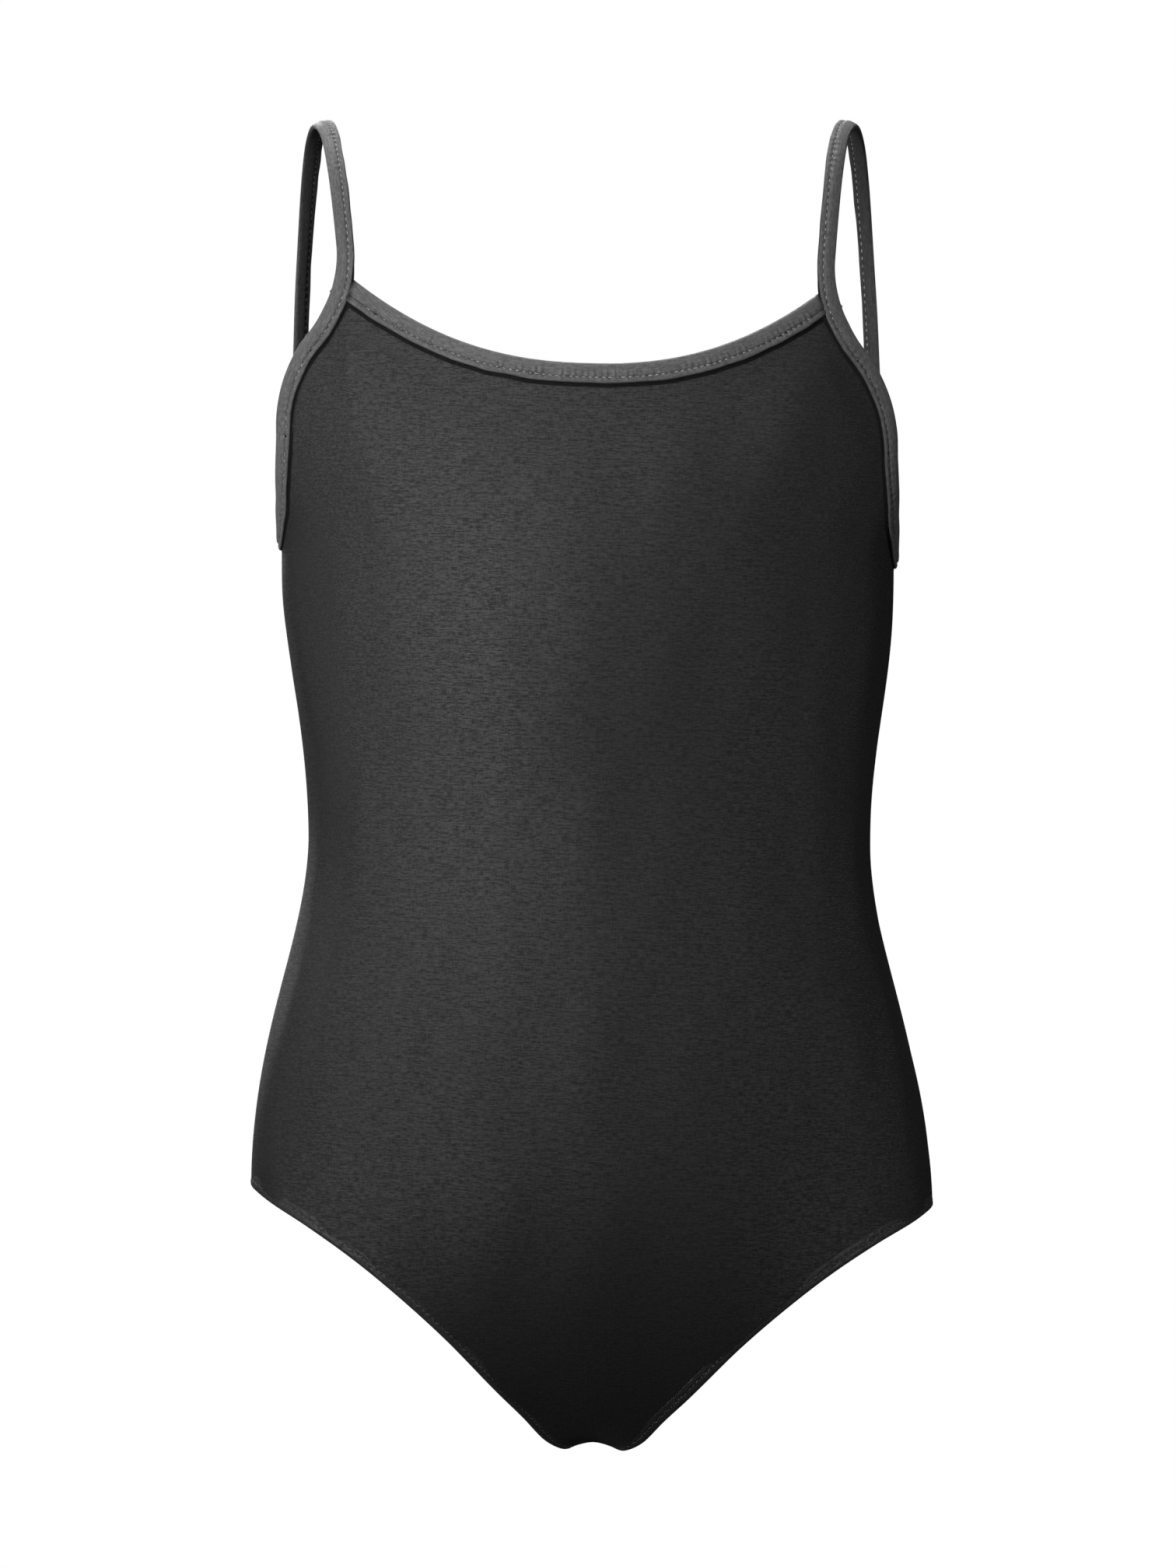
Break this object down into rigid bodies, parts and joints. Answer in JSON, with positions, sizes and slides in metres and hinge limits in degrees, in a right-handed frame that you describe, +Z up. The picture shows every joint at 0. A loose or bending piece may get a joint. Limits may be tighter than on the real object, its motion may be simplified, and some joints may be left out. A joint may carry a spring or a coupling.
{
  "type": "gymnastics leotard",
  "caption": "Camisole leotard in dark heathered stretch jersey with narrow elasticated shoulder straps, a scooped neck and high-cut leg openings, in its worn shape.",
  "frame": {"origin": "midway between the tops of the two shoulder straps, where the shoulders hold the garment up", "axes": "+Z up along the body, -Y towards the front of the garment, +X to the right as seen from the front"},
  "size_m": [0.2868, 0.1998, 0.558],
  "materials": {
    "jersey": "matt heathered cotton and elastane jersey",
    "binding_jersey": "the same jersey, folded and stretched, with a slight sheen",
    "hem_jersey": "turned jersey edge",
    "lining_jersey": "fine plain lining jersey",
    "elastic": "smooth",
    "sewing_thread": "polyester thread",
    "label": "blank satin ribbon"
  },
  "bodies": {
    "garment": {"front_panel": "jersey", "back_panel": "jersey", "gusset_lining": "lining_jersey", "size_label": "label", "care_label": "label", "crotch_seam": "sewing_thread", "gusset_seam_front": "sewing_thread", "gusset_seam_back": "sewing_thread", "neck_binding_front": "binding_jersey", "neck_elastic_front": "elastic", "neck_stitching_front": "sewing_thread", "neck_binding_back": "binding_jersey", "neck_elastic_back": "elastic", "neck_stitching_back": "sewing_thread", "armhole_binding_left": "binding_jersey", "armhole_elastic_left": "elastic", "armhole_stitching_left": "sewing_thread", "leg_hem_left": "hem_jersey", "leg_elastic_left": "elastic", "leg_stitching_left": "sewing_thread", "side_seam_left": "sewing_thread", "armhole_binding_right": "binding_jersey", "armhole_elastic_right": "elastic", "armhole_stitching_right": "sewing_thread", "leg_hem_right": "hem_jersey", "leg_elastic_right": "elastic", "leg_stitching_right": "sewing_thread", "side_seam_right": "sewing_thread"},
    "strap_loop_left": {"strap_left": "binding_jersey", "strap_elastic_left": "elastic", "strap_stitching_left": "sewing_thread"},
    "strap_loop_right": {"strap_right": "binding_jersey", "strap_elastic_right": "elastic", "strap_stitching_right": "sewing_thread"}
  },
  "joints": [
    {"name": "strap_left_swing", "type": "hinge", "parent": "garment", "child": "strap_loop_left", "pos_m": [-0.0983, -0.05097, -0.06865], "axis": [0.1982, -0.8793, 0.4331], "range_deg": [-25, 80]},
    {"name": "strap_right_swing", "type": "hinge", "parent": "garment", "child": "strap_loop_right", "pos_m": [0.09923, -0.05097, -0.07458], "axis": [0.2026, 0.8737, -0.4423], "range_deg": [-25, 80]}
  ]
}
